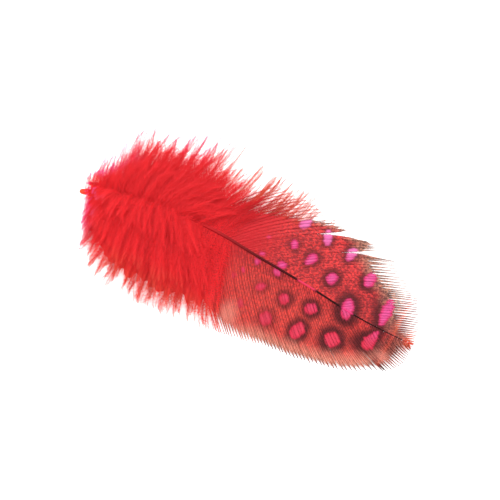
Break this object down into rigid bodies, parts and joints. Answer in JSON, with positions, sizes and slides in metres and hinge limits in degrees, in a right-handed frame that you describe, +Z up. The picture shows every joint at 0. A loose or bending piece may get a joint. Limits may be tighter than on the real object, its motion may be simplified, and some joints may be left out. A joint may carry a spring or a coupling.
{
  "type": "guinea fowl feather",
  "caption": "Dyed guinea fowl body feather lying arched face up: short quill, thick loose down on its lower half and a spotted webbed vane with a split, fringed margin.",
  "frame": {"origin": "middle of the feather's bounding box in plan, on the surface it rests on", "axes": "+X from the quill end to the tip of the feather, +Y to the wider vane, +Z up out of the arched face"},
  "size_m": [0.0702, 0.0364, 0.0091],
  "materials": {
    "dyed_keratin": "dyed keratin: soft matt down in scarlet, satin vane with pink spots in dark maroon rings"
  },
  "bodies": {
    "root": {"feather": "dyed_keratin"}
  },
  "joints": []
}
